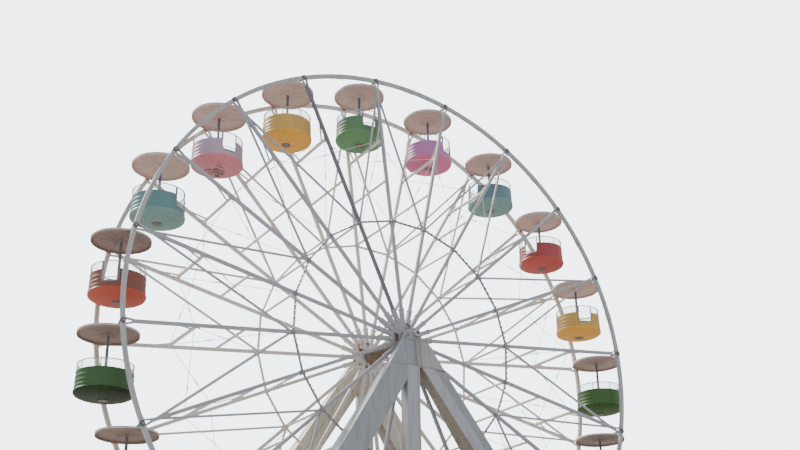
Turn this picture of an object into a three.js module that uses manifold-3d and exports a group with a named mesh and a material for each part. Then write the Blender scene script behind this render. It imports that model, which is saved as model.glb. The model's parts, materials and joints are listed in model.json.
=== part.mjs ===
import * as THREE from 'three';
import Module from 'manifold-3d';

// Ferris wheel with open round tubs. Millimetres, +Z up, +X in the wheel's plane,
// +Y along the shaft (the front side faces -Y). The origin is on the ground under the shaft.

// Running and mounting gap, how far a piece runs into the one it is welded to,
// and how far a cut runs past what it cuts
const SEAM = 0.3;
const SEAT = 20;
const REACH = 200;

// Wheel
const WHEEL_R = 9600;
const HUB_Z = 12100;
const CABINS = 20;
const STEP_DEG = 360 / CABINS;
const FIRST_DEG = -114.2;
const SIDE_Y = 1160;
const SIDE_HALF = 58;
const RIM_DEPTH = 140;
const RIM_PARTS = 40;
const SPOKE_W = 116;
const SPOKE_END = WHEEL_R - RIM_DEPTH / 2 - SPOKE_W / 2 * Math.tan(Math.PI / RIM_PARTS) - SEAM;
const BRACE_W = 64;
const RING_R = 4185;
const RING_BAR = 64;
const CLAMP_T = 16;
const CLAMP_H = 54;
const STRUT_W = 64;
const OUTER_STRUT_R = 7330;
const OUTER_STRUT_W = 90;
const ROD_W = 26;
const ROD_END_Y = 975;
const ROD_SIDE = 10;
const BRACE_INSET = 400;
const FLANGE_R = 560;
const FLANGE_T = 150;
const HUB_SIDES = 20;

// Shaft and bearings
const SHAFT_R = 120;
const SHAFT_HALF = 1970;
const DRUM_R = 200;
const DRUM_HALF = 1262;
const SPOKE_START = DRUM_R + 60;
const BEARING_W = 620;
const BEARING_TOP = 215;
const BEARING_Y0 = 1640;
const BEARING_Y1 = 1850;

// Towers, each with a head, two sloping legs and an upright post
const TOWER_BACK_Y = 1580;
const FRONT_Y = 1835;
const FRONT_SLOPE = 0.1117;
const HEAD_TOP = 190;
const HEAD_BOTTOM = 1150;
const HEAD_TOP_HALF = 455;
const LEG_X = 292;
const LEG_SLOPE = 0.6653;
const LEG_W = 943;
const LEG_TAPER = 0.0106;
const POST_X = 215;
const POST_W = 480;
const POST_Y1 = 1990;
const PLATE_T = 40;
const LEG_PLATE_X = 160;
const LEG_PLATE_Y = 140;
const POST_PLATE = 120;

// Cabins
const BAR_R = 38;
const BAR_END = 1262;
const ROOF_R = 905;
const ROOF_TOP = 20;
const ROOF_EDGE_DROP = 25;
const ROOF_DROP = 75;
const ROOF_LIP_DROP = 140;
const ROOF_LIP_T = 40;
const POLE_R = 45;
const COLLAR_R = 140;
const COLLAR_T = 26;
const TUB_TOP_R = 822;
const TUB_LOW_R = 835;
const TUB_BULGE_R = 858;
const TUB_BOWL_R = 700;
const TUB_WALL = 40;
const FLOOR_R = 767;
const RAIL_DROP = 1020;
const WALL_DROP = 1292;
const WALL_LOW_DROP = 1812;
const BULGE_DROP = 1856;
const FLOOR_DROP = 1890;
const BOWL_DROP = 2005;
const BOTTOM_DROP = 2065;
const TUB_BORE_R = 47;
const RAIL_W = 34;
const STAY_W = 24;
const STAY_DEG = [67.5, 157.5, 202.5, 292.5];
const DOOR_W = 485;
const DOOR_DEPTH = 386;
const ROUND_SIDES = 16;
const POLE_SIDES = 8;
const BAR_SIDES = 6;
// Direction of each tub's door gap in degrees from +X
const DOOR_DEG = [
  -145, 40, -125, -51, -85, 75, -94, -66, -178, -157,
  -111, 55, 27, -124, 150, -35, 95, -60, 172, -20
];

const wasm = await Module();
wasm.setup();

function solid(geometry) {
  const positions = geometry.attributes.position;
  const index = geometry.index;
  const count = index ? index.count : positions.count;
  const found = new Map();
  const points = [];
  const faces = [];
  for (let i = 0; i < count; i += 1) {
    const at = index ? index.getX(i) : i;
    const p = [positions.getX(at), positions.getY(at), positions.getZ(at)];
    const key = p.map((value) => Math.round(value * 1e4)).join(',');
    if (!found.has(key)) {
      found.set(key, points.length / 3);
      points.push(...p);
    }
    faces.push(found.get(key));
  }
  const kept = [];
  for (let i = 0; i < faces.length; i += 3) {
    const [a, b, c] = faces.slice(i, i + 3);
    if (a !== b && b !== c && c !== a) {
      kept.push(a, b, c);
    }
  }
  const mesh = new wasm.Mesh({
    numProp: 3,
    vertProperties: new Float32Array(points),
    triVerts: new Uint32Array(kept)
  });
  return new wasm.Manifold(mesh);
}

function shape(manifold) {
  const mesh = manifold.getMesh();
  const geometry = new THREE.BufferGeometry();
  geometry.setAttribute('position', new THREE.BufferAttribute(new Float32Array(mesh.vertProperties), 3));
  geometry.setIndex(new THREE.BufferAttribute(new Uint32Array(mesh.triVerts), 1));
  return geometry;
}

function fused(list) {
  return list.reduce((all, next) => all.add(next));
}

function box(x0, x1, y0, y1, z0, z1) {
  const geometry = new THREE.BoxGeometry(x1 - x0, y1 - y0, z1 - z0);
  geometry.translate((x0 + x1) / 2, (y0 + y1) / 2, (z0 + z1) / 2);
  return solid(geometry);
}

// A block with a level top and bottom, each a rectangle [x0, x1, y0, y1]
function tapered(low, z0, high, z1) {
  const geometry = new THREE.BoxGeometry(1, 1, 1);
  const p = geometry.attributes.position;
  for (let i = 0; i < p.count; i += 1) {
    const end = p.getZ(i) < 0 ? low : high;
    const x = p.getX(i) < 0 ? end[0] : end[1];
    const y = p.getY(i) < 0 ? end[2] : end[3];
    p.setXYZ(i, x, y, p.getZ(i) < 0 ? z0 : z1);
  }
  return solid(geometry);
}

// A square bar in a plane of constant Y, from one point to another
function flatBar(x0, z0, x1, z1, y, width, depth) {
  const length = Math.hypot(x1 - x0, z1 - z0);
  const geometry = new THREE.BoxGeometry(length, depth, width);
  geometry.rotateY(-Math.atan2(z1 - z0, x1 - x0));
  geometry.translate((x0 + x1) / 2, y, (z0 + z1) / 2);
  return solid(geometry);
}

// A thin square rod between two points
function rod(start, end, width) {
  const a = new THREE.Vector3(...start);
  const b = new THREE.Vector3(...end);
  const geometry = new THREE.BoxGeometry(width, width, a.distanceTo(b));
  geometry.lookAt(b.clone().sub(a));
  const middle = a.add(b).multiplyScalar(0.5);
  geometry.translate(middle.x, middle.y, middle.z);
  return solid(geometry);
}

// A round bar of few sides along Y
function crossBar(x, z, radius, y0, y1, sides) {
  const geometry = new THREE.CylinderGeometry(radius, radius, y1 - y0, sides);
  geometry.translate(x, (y0 + y1) / 2, z);
  return solid(geometry);
}

// The hole that such a bar turns in: its flats face the bar's corners
function barHole(x, z, radius, y0, y1, sides) {
  const corner = (radius + SEAM) / Math.cos(Math.PI / sides);
  const geometry = new THREE.CylinderGeometry(corner, corner, y1 - y0, sides);
  geometry.rotateY(Math.PI / sides);
  geometry.translate(x, (y0 + y1) / 2, z);
  return solid(geometry);
}

// A turned shape on an upright line: pairs of radius and height
function turned(profile, sides) {
  const points = profile.map(([r, z]) => new THREE.Vector2(r, z));
  const geometry = new THREE.LatheGeometry(points, sides);
  geometry.rotateX(Math.PI / 2);
  return solid(geometry);
}

// A turned shape closed on itself, with its first point repeated at the end
function turnedRing(profile, sides) {
  return turned([...profile, profile[0]], sides);
}

// Place on the wheel at a radius and an angle clockwise from the top
function onWheel(radius, degrees) {
  const a = THREE.MathUtils.degToRad(degrees);
  return [radius * Math.sin(a), HUB_Z + radius * Math.cos(a)];
}

function cabinDeg(k) {
  return FIRST_DEG + k * STEP_DEG;
}

const paint = {
  steel: new THREE.MeshStandardMaterial({ color: 0xd8d5cb, metalness: 0.3, roughness: 0.5 }),
  tower: new THREE.MeshStandardMaterial({ color: 0xc9c8c0, metalness: 0.3, roughness: 0.5 }),
  shaft: new THREE.MeshStandardMaterial({ color: 0x6a5040, metalness: 0.6, roughness: 0.6 }),
  canopy: new THREE.MeshStandardMaterial({ color: 0xc9a89a, metalness: 0.1, roughness: 0.5 })
};
const TUB_COLOURS = {
  green: 0x467d41,
  teal: 0x5f8787,
  orange: 0xbe4b2d,
  red: 0xaf4641,
  pink: 0xc86e78,
  lilac: 0xaa78a5,
  yellow: 0xc8963c
};
const TUB_ORDER = [
  'yellow', 'green', 'orange', 'teal', 'pink', 'yellow', 'green', 'lilac', 'teal', 'red',
  'yellow', 'green', 'orange', 'teal', 'pink', 'yellow', 'green', 'lilac', 'teal', 'red'
];
const tubPaint = {};
for (const [name, color] of Object.entries(TUB_COLOURS)) {
  tubPaint[name] = new THREE.MeshStandardMaterial({ color, metalness: 0.1, roughness: 0.45 });
}

const part = new THREE.Group();
part.name = 'ferris_wheel';

function place(name, geometry, material) {
  const mesh = new THREE.Mesh(geometry, material);
  mesh.name = name;
  part.add(mesh);
}

// A many-sided ring round the shaft, with a corner at every cabin's spoke
function hoop(radius, depth, half, sides, y) {
  const inner = radius - depth / 2;
  const outer = radius + depth / 2;
  const profile = [[inner, -half], [outer, -half], [outer, half], [inner, half], [inner, -half]];
  const points = profile.map(([r, h]) => new THREE.Vector2(r, h));
  const geometry = new THREE.LatheGeometry(points, sides);
  geometry.rotateY(THREE.MathUtils.degToRad(cabinDeg(0)));
  geometry.translate(0, y, HUB_Z);
  return solid(geometry);
}

// Rims: a ring each, with a hole at every cabin for its cross bar
function rim(side) {
  const y = side * SIDE_Y;
  let ring = hoop(WHEEL_R, RIM_DEPTH, SIDE_HALF, RIM_PARTS, y);
  for (let k = 0; k < CABINS; k += 1) {
    const [x, z] = onWheel(WHEEL_R, cabinDeg(k));
    ring = ring.subtract(barHole(x, z, BAR_R, y - REACH, y + REACH, BAR_SIDES));
  }
  return ring;
}

// Spokes of one side on their hub flange, with the V braces of every second spoke
function spokes(side) {
  const y = side * SIDE_Y;
  const bars = [crossBar(0, HUB_Z, FLANGE_R, y - FLANGE_T / 2, y + FLANGE_T / 2, HUB_SIDES)];
  for (let k = 0; k < CABINS; k += 1) {
    const [x0, z0] = onWheel(SPOKE_START, cabinDeg(k));
    const [x1, z1] = onWheel(SPOKE_END, cabinDeg(k));
    bars.push(flatBar(x0, z0, x1, z1, y, SPOKE_W, SPOKE_W));
    if (k % 2 === 1) {
      const [xr, zr] = onWheel(RING_R, cabinDeg(k));
      for (const turn of [-1, 1]) {
        const [xe, ze] = onWheel(SPOKE_END - BRACE_INSET, cabinDeg(k + turn));
        bars.push(flatBar(xr, zr, xe, ze, y, BRACE_W, BRACE_W));
      }
    }
  }
  return fused(bars).subtract(crossBar(0, HUB_Z, DRUM_R + SEAM, y - REACH, y + REACH, HUB_SIDES));
}

// Two places on one side of the middle, in rising order
function span(side, a, b) {
  return side > 0 ? [a, b] : [-b, -a];
}

// A block on a spoke's line, from x0 to x1 across the spoke and from y0 to y1 along the shaft
function onSpoke(radius, degrees, x0, x1, y0, y1, height) {
  const [x, z] = onWheel(radius, degrees);
  const geometry = new THREE.BoxGeometry(x1 - x0, y1 - y0, height);
  geometry.translate((x0 + x1) / 2, (y0 + y1) / 2, 0);
  geometry.rotateY(THREE.MathUtils.degToRad(degrees));
  geometry.translate(x, 0, z);
  return solid(geometry);
}

// A square strut across the wheel, from one side's spoke to the other's
function strut(radius, degrees, width) {
  const y = SIDE_Y - SIDE_HALF - SEAM;
  return onSpoke(radius, degrees, -width / 2, width / 2, -y, y, width);
}

// Inner cage: a thin ring on the outer face of each side's spokes. The struts that tie the two rings
// together end in forks, which reach past both sides of the spoke to the ring.
function cage() {
  const y = SIDE_Y + SIDE_HALF + SEAM + RING_BAR / 2;
  const root = SIDE_Y - SIDE_HALF - SEAM - CLAMP_T;
  const near = SPOKE_W / 2 + SEAM;
  const wide = near + CLAMP_T;
  const bars = [-1, 1].map((side) => hoop(RING_R, RING_BAR, RING_BAR / 2, CABINS, side * y));
  for (let k = 0; k < CABINS; k += 1) {
    const degrees = cabinDeg(k);
    bars.push(strut(RING_R, degrees, STRUT_W));
    for (const side of [-1, 1]) {
      const plate = span(side, root, root + CLAMP_T);
      const prong = span(side, root, y);
      bars.push(onSpoke(RING_R, degrees, -wide, wide, ...plate, CLAMP_H));
      bars.push(onSpoke(RING_R, degrees, -wide, -near, ...prong, CLAMP_H));
      bars.push(onSpoke(RING_R, degrees, near, wide, ...prong, CLAMP_H));
    }
  }
  return fused(bars);
}

// A point on the wheel at a radius, an angle and a place along the shaft
function onSide(radius, degrees, y) {
  const [x, z] = onWheel(radius, degrees);
  return [x, y, z];
}

// Outer bracing: a strut between each pair of spokes, and rods that cross from pair to pair
function outerBracing() {
  const bars = [];
  for (let k = 0; k < CABINS; k += 1) {
    const degrees = cabinDeg(k);
    bars.push(strut(OUTER_STRUT_R, degrees, OUTER_STRUT_W));
    for (const side of [-1, 1]) {
      const radius = OUTER_STRUT_R + side * ROD_SIDE;
      const near = onSide(radius, degrees, side * ROD_END_Y);
      const far = onSide(radius, degrees + STEP_DEG, -side * ROD_END_Y);
      bars.push(rod(near, far, ROD_W));
    }
  }
  return fused(bars);
}

function shaft() {
  return crossBar(0, HUB_Z, SHAFT_R, -SHAFT_HALF, SHAFT_HALF, HUB_SIDES)
    .add(crossBar(0, HUB_Z, DRUM_R, -DRUM_HALF, DRUM_HALF, HUB_SIDES));
}

place('front_rim', shape(rim(-1)), paint.steel);
place('rear_rim', shape(rim(1)), paint.steel);
place('front_spokes', shape(spokes(-1)), paint.steel);
place('rear_spokes', shape(spokes(1)), paint.steel);
place('inner_cage', shape(cage()), paint.steel);
place('outer_bracing', shape(outerBracing()), paint.steel);
place('main_shaft', shape(shaft()), paint.shaft);

// Towers. Depths are measured below the shaft; a tower's front face leans outwards.
function faceY(depth) {
  return FRONT_Y + FRONT_SLOPE * depth;
}

function legEnds(depth) {
  const outer = LEG_X + LEG_SLOPE * depth;
  return [outer - (LEG_W - LEG_TAPER * depth), outer];
}

function leg(side, hand) {
  const high = HEAD_BOTTOM + SEAM;
  const low = HUB_Z - PLATE_T;
  const [a1, b1] = legEnds(high);
  const [a0, b0] = legEnds(low);
  const top = [...span(hand, a1, b1), ...span(side, TOWER_BACK_Y, faceY(high))];
  const foot = [...span(hand, a0, b0), ...span(side, TOWER_BACK_Y, faceY(low))];
  const plateX = span(hand, a0 - LEG_PLATE_X, b0 + LEG_PLATE_X);
  const plateY = span(side, TOWER_BACK_Y - LEG_PLATE_Y, faceY(low) + LEG_PLATE_Y);
  const half = POST_W / 2 + SEAM;
  const x = side * POST_X;
  const cutY = span(side, TOWER_BACK_Y - REACH, faceY(low) + REACH);
  return tapered(foot, PLATE_T / 2, top, HUB_Z - high)
    .add(box(...plateX, ...plateY, 0, PLATE_T))
    .subtract(box(x - half, x + half, ...cutY, HUB_Z / 2, HUB_Z));
}

function post(side) {
  const high = HUB_Z - HEAD_BOTTOM - SEAM;
  const x = side * POST_X;
  const y = span(side, TOWER_BACK_Y, POST_Y1);
  const plateY = span(side, TOWER_BACK_Y - POST_PLATE, POST_Y1 + POST_PLATE);
  const plateX = [x - POST_W / 2 - POST_PLATE, x + POST_W / 2 + POST_PLATE];
  return box(x - POST_W / 2, x + POST_W / 2, ...y, PLATE_T / 2, high)
    .add(box(...plateX, ...plateY, 0, PLATE_T));
}

function head(side) {
  const half = legEnds(HEAD_BOTTOM)[1];
  const low = [-half, half, ...span(side, TOWER_BACK_Y, faceY(HEAD_BOTTOM))];
  const high = [-HEAD_TOP_HALF, HEAD_TOP_HALF, ...span(side, TOWER_BACK_Y, faceY(HEAD_TOP))];
  return tapered(low, HUB_Z - HEAD_BOTTOM, high, HUB_Z - HEAD_TOP);
}

function bearing(side) {
  const y = span(side, BEARING_Y0, BEARING_Y1);
  const block = box(-BEARING_W / 2, BEARING_W / 2, ...y, HUB_Z - HEAD_TOP + SEAM, HUB_Z + BEARING_TOP);
  return block.subtract(barHole(0, HUB_Z, SHAFT_R, y[0] - REACH, y[1] + REACH, HUB_SIDES));
}

for (const [name, side] of [['front', -1], ['rear', 1]]) {
  place(`${name}_tower_head`, shape(head(side)), paint.tower);
  place(`${name}_bearing`, shape(bearing(side)), paint.tower);
  place(`${name}_left_leg`, shape(leg(side, -1)), paint.tower);
  place(`${name}_right_leg`, shape(leg(side, 1)), paint.tower);
  place(`${name}_post`, shape(post(side)), paint.tower);
}

// Cabins: cross bar, roof and pole hang as one piece, and the tub turns on the pole
function canopy() {
  const roof = turned([
    [0, -ROOF_DROP],
    [ROOF_R - ROOF_LIP_T, -ROOF_DROP],
    [ROOF_R - ROOF_LIP_T, -ROOF_LIP_DROP],
    [ROOF_R, -ROOF_LIP_DROP],
    [ROOF_R, -ROOF_EDGE_DROP],
    [0, ROOF_TOP]
  ], ROUND_SIDES);
  const collarTop = -BOTTOM_DROP - SEAM;
  const pole = turned([
    [0, collarTop - COLLAR_T],
    [COLLAR_R, collarTop - COLLAR_T],
    [COLLAR_R, collarTop],
    [POLE_R, collarTop],
    [POLE_R, -ROOF_DROP + SEAT],
    [0, -ROOF_DROP + SEAT]
  ], POLE_SIDES);
  const bar = crossBar(0, 0, BAR_R, -BAR_END, BAR_END, BAR_SIDES);
  return shape(roof.add(pole).add(bar));
}

function tub() {
  const shell = turnedRing([
    [TUB_BORE_R, -BOTTOM_DROP],
    [TUB_BOWL_R, -BOWL_DROP],
    [TUB_BULGE_R, -BULGE_DROP],
    [TUB_LOW_R, -WALL_LOW_DROP],
    [TUB_TOP_R, -WALL_DROP],
    [TUB_TOP_R - TUB_WALL, -WALL_DROP],
    [FLOOR_R, -FLOOR_DROP],
    [TUB_BORE_R, -FLOOR_DROP]
  ], ROUND_SIDES);
  const gap = new THREE.BoxGeometry(2 * REACH, DOOR_W, 2 * DOOR_DEPTH);
  gap.translate(TUB_TOP_R, 0, -WALL_DROP);
  const rail = turnedRing([
    [TUB_TOP_R - RAIL_W, -RAIL_DROP - RAIL_W],
    [TUB_TOP_R, -RAIL_DROP - RAIL_W],
    [TUB_TOP_R, -RAIL_DROP],
    [TUB_TOP_R - RAIL_W, -RAIL_DROP]
  ], ROUND_SIDES);
  let all = shell.subtract(solid(gap)).add(rail);
  for (const degrees of STAY_DEG) {
    const stay = new THREE.BoxGeometry(STAY_W, STAY_W, WALL_DROP - RAIL_DROP);
    stay.translate(TUB_TOP_R - RAIL_W / 2, 0, -(WALL_DROP + RAIL_DROP + RAIL_W / 2) / 2);
    stay.rotateZ(THREE.MathUtils.degToRad(degrees));
    all = all.add(solid(stay));
  }
  return shape(all);
}

const oneCanopy = canopy();
const oneTub = tub();
for (let k = 0; k < CABINS; k += 1) {
  const number = String(k + 1).padStart(2, '0');
  const [x, z] = onWheel(WHEEL_R, cabinDeg(k));
  place(`canopy_${number}`, oneCanopy.clone().translate(x, 0, z), paint.canopy);
  const turnedTub = oneTub.clone().rotateZ(THREE.MathUtils.degToRad(DOOR_DEG[k]));
  place(`tub_${number}`, turnedTub.translate(x, 0, z), tubPaint[TUB_ORDER[k]]);
}

export default part;
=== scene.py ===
import json
import math

import bmesh
import bpy
from mathutils import Matrix, Vector


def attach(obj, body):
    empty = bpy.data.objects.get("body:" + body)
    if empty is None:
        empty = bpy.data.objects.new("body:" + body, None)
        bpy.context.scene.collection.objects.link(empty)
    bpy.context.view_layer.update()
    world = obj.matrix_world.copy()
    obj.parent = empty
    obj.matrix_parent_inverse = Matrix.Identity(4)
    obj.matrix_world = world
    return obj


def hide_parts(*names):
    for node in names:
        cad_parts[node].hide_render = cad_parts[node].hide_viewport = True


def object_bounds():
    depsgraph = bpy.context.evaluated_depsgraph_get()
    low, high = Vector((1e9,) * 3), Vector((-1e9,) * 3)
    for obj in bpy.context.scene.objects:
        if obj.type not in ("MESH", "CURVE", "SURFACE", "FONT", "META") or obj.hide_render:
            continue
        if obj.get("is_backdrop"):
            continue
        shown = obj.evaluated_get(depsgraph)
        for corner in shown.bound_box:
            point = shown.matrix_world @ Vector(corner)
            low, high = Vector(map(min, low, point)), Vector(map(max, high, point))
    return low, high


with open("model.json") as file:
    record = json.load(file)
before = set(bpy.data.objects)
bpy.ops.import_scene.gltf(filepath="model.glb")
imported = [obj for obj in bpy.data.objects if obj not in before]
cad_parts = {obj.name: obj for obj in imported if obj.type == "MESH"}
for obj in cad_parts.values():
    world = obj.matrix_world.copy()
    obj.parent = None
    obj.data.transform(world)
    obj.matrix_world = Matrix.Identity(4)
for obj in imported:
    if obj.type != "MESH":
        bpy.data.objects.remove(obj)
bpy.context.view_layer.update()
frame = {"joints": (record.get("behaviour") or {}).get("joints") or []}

# Camera, floor and light. The camera stands low in front of the wheel and to its left, and looks up
# past the shaft. Floor and sky are a plain pale studio: a wide even floor, an even pale surround and
# one large soft lamp high behind the wheel, so that the near faces are in open shade.
CAMERA_AT = Vector((-19.176, -30.538, 0.3066))
CAMERA_YAW = math.radians(32.945)
CAMERA_PITCH = math.radians(21.881)
CAMERA_ROLL = math.radians(-0.935)
LENS_MM = 50.35
SENSOR_MM = 36
LENS_SHIFT = 0.0625
FLOOR_R = 400
FLOOR_COLOUR = (0.57, 0.56, 0.545, 1)
SKY_COLOUR = (0.90, 0.95, 1.0, 1)
SKY_SEEN = 5.0
SKY_LIGHT = 0.9
SUN_COLOUR = (1.0, 0.95, 0.88)
SUN_POWER = 5.0
SUN_SPREAD = math.radians(14)
SUN_FROM = Vector((-0.38, 0.88, 0.9))

ahead = Vector((
    math.sin(CAMERA_YAW) * math.cos(CAMERA_PITCH),
    math.cos(CAMERA_YAW) * math.cos(CAMERA_PITCH),
    math.sin(CAMERA_PITCH),
))
level = Vector((math.cos(CAMERA_YAW), -math.sin(CAMERA_YAW), 0))
above = level.cross(ahead)
right = level * math.cos(CAMERA_ROLL) + above * math.sin(CAMERA_ROLL)
up = above * math.cos(CAMERA_ROLL) - level * math.sin(CAMERA_ROLL)
camera = bpy.data.objects.new("camera", bpy.data.cameras.new("camera"))
camera.data.lens = LENS_MM
camera.data.sensor_width = SENSOR_MM
camera.data.sensor_fit = "HORIZONTAL"
camera.data.shift_y = LENS_SHIFT
camera.data.clip_end = 2000
camera.matrix_world = Matrix.Translation(CAMERA_AT) @ Matrix((right, up, -ahead)).transposed().to_4x4()
bpy.context.scene.collection.objects.link(camera)
bpy.context.scene.camera = camera


def node(tree, kind, inputs=None, **settings):
    """A shader node with its settings, its input values and the sockets linked to it."""
    made = tree.nodes.new(kind)
    for key, value in settings.items():
        setattr(made, key, value)
    for key, value in (inputs or {}).items():
        if isinstance(value, bpy.types.NodeSocket):
            tree.links.new(value, made.inputs[key])
        else:
            made.inputs[key].default_value = value
    return made


world = bpy.data.worlds.new("studio")
world.use_nodes = True
world.node_tree.nodes.clear()
lit = node(world.node_tree, "ShaderNodeBackground", {"Color": SKY_COLOUR, "Strength": SKY_LIGHT})
seen = node(world.node_tree, "ShaderNodeBackground", {"Color": SKY_COLOUR, "Strength": SKY_SEEN})
path = node(world.node_tree, "ShaderNodeLightPath")
sky = node(world.node_tree, "ShaderNodeMixShader", {
    0: path.outputs["Is Camera Ray"], 1: lit.outputs[0], 2: seen.outputs[0],
})
node(world.node_tree, "ShaderNodeOutputWorld", {"Surface": sky.outputs[0]})
bpy.context.scene.world = world

sun = bpy.data.objects.new("soft_lamp", bpy.data.lights.new("soft_lamp", "SUN"))
sun.data.energy = SUN_POWER
sun.data.angle = SUN_SPREAD
sun.data.color = SUN_COLOUR
sun.rotation_euler = SUN_FROM.to_track_quat("Z", "Y").to_euler()
bpy.context.scene.collection.objects.link(sun)

ground = bmesh.new()
bmesh.ops.create_circle(ground, cap_ends=True, segments=96, radius=FLOOR_R)
bmesh.ops.translate(ground, verts=ground.verts, vec=(0, 0, -0.004))
floor_mesh = bpy.data.meshes.new("floor")
ground.to_mesh(floor_mesh)
ground.free()
floor_paint = bpy.data.materials.new("floor")
floor_paint.use_nodes = True
floor_shader = floor_paint.node_tree.nodes["Principled BSDF"]
floor_shader.inputs["Base Color"].default_value = FLOOR_COLOUR
floor_shader.inputs["Roughness"].default_value = 0.9
floor_mesh.materials.append(floor_paint)
floor = bpy.data.objects.new("floor", floor_mesh)
bpy.context.scene.collection.objects.link(floor)
floor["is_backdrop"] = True

# Rims: a rolled steel channel for each side of the wheel, made in twenty lengths that meet in bolted
# sleeves half way between the cabins. At each cabin it carries a bearing for the cabin's cross bar,
# a short tube on the inner side and a round cap on the outer. Painted light grey, tan at the rear.
spin = next(j for j in frame["joints"] if j["name"] == "wheel_spin")
HUB = Vector(spin["pos_m"])
PIVOTS = [Vector(j["pos_m"]) for j in frame["joints"] if j["name"].endswith("_swing")]
WHEEL_R = (PIVOTS[0] - HUB).length
STEP = 2 * math.pi / len(PIVOTS)
FIRST = math.atan2(PIVOTS[0].x - HUB.x, PIVOTS[0].z - HUB.z)
SIDE_Y = 1.16
SIDE_HALF = 0.058
RIM_R = 9.593
RIM_HALF = 0.064
RIM_FLANGE = 0.020
RIM_SUNK = 0.014
RIM_STEPS = 160
SLEEVE = 0.26
SLEEVE_R = 9.589
SLEEVE_W = 0.134
SLEEVE_DEPTH = 0.130
SLEEVE_BOLTS = (-0.30, 0.0, 0.30)
SLEEVE_BOLT_R = (9.555, 9.625)
CAP_R = 0.075
CAP_END = 1.258
CAP_STEPS = ((1.212, 1.232, 0.088), (1.232, CAP_END - 0.008, CAP_R))
CAP_BOLTS = 6
CAP_BOLT_R = 0.054
TUBE_R = 0.072
TUBE_BORE = 0.043
TUBE_END = 1.045


def on_wheel(radius, turns, y=0.0):
    """A point at a radius, a number of cabin steps from the first cabin, and a place along the shaft."""
    angle = FIRST + turns * STEP
    return HUB + Vector((radius * math.sin(angle), y, radius * math.cos(angle)))


def give_paint(verts, paint):
    """Gives the faces of new vertices one of the piece's paints."""
    for face in {f for v in verts for f in v.link_faces}:
        face.material_index = paint


def round_off(bm, edges, offset, segments=2):
    """Rounds edges off."""
    bmesh.ops.bevel(bm, geom=edges, offset=offset, segments=segments, profile=0.5, affect="EDGES",
                    material=-1)


def bar(bm, start, end, width, depth, edge=0.0, across=(0, 1, 0), paint=0):
    """A square tube or flat bar: depth lies along across, width at right angles to it."""
    start, end = Vector(start), Vector(end)
    along = (end - start).normalized()
    side = Vector(across)
    side = (side - along * side.dot(along)).normalized()
    turn = Matrix((side.cross(along), side, along)).transposed().to_4x4()
    size = Matrix.Diagonal((width, depth, (end - start).length, 1))
    made = bmesh.ops.create_cube(
        bm, size=1.0, matrix=Matrix.Translation((start + end) / 2) @ turn @ size)["verts"]
    give_paint(made, paint)
    if edge:
        round_off(bm, [
            e for e in {e for v in made for e in v.link_edges}
            if abs((e.verts[0].co - e.verts[1].co).normalized().dot(along)) > 0.99
        ], edge)


def rod(bm, start, end, radius, sides=8, far_radius=None, paint=0):
    """A round bar, bolt head or cone between two points."""
    start, end = Vector(start), Vector(end)
    turn = (end - start).to_track_quat("Z", "Y").to_matrix().to_4x4()
    made = bmesh.ops.create_cone(
        bm, cap_ends=True, segments=sides, radius1=radius,
        radius2=radius if far_radius is None else far_radius, depth=(end - start).length,
        matrix=Matrix.Translation((start + end) / 2) @ turn)["verts"]
    give_paint(made, paint)


def join(bm, part, paint=None):
    """Adds a finished part to a piece, in one of the piece's paints or in its own."""
    if paint is not None:
        for face in part.faces:
            face.material_index = paint
    mesh = bpy.data.meshes.new("part")
    part.to_mesh(mesh)
    part.free()
    bm.from_mesh(mesh)
    bpy.data.meshes.remove(mesh)


def lathe(profile, steps, centre=(0, 0, 0), axis="Z", closed=False, angle=2 * math.pi, start=0.0):
    """A turned part: pairs of radius and height, in a line or a loop, spun round an upright line
    or, with axis Y, round a line along the shaft."""
    part = bmesh.new()
    along = Vector((0, 1, 0)) if axis == "Y" else Vector((0, 0, 1))
    out = Matrix.Rotation(start, 3, along) @ Vector((1, 0, 0))
    verts = [part.verts.new(Vector(centre) + out * r + along * h) for r, h in profile]
    pairs = list(zip(verts, verts[1:])) + ([(verts[-1], verts[0])] if closed else [])
    edges = [part.edges.new(pair) for pair in pairs]
    whole = angle > 6.28
    bmesh.ops.spin(part, geom=verts + edges, cent=centre, axis=along, angle=angle, steps=steps,
                   use_merge=whole)
    if closed and not whole:
        bmesh.ops.holes_fill(part, edges=part.edges, sides=0)
    bmesh.ops.remove_doubles(part, verts=part.verts, dist=1e-5)
    bmesh.ops.recalc_face_normals(part, faces=part.faces)
    return part


def finished(name, bm):
    """A finished mesh, smooth but for its sharp edges."""
    mesh = bpy.data.meshes.new(name)
    bm.to_mesh(mesh)
    bm.free()
    mesh.shade_smooth()
    mesh.set_sharp_from_angle(angle=math.radians(32))
    return mesh


def place(name, mesh, paints, body, slot, *replaced):
    """Puts a mesh in the scene: its paints, the body it moves with and the node it stands for."""
    for paint in paints:
        mesh.materials.append(paint)
    made = bpy.data.objects.new(name, mesh)
    bpy.context.scene.collection.objects.link(made)
    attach(made, body)
    if replaced:
        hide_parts(*replaced)


def piece(name, bm, paints, body, slot, *replaced):
    """Makes a piece that stands once on the wheel or the towers."""
    place(name, finished(name, bm), paints, body, slot, *replaced)


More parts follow.
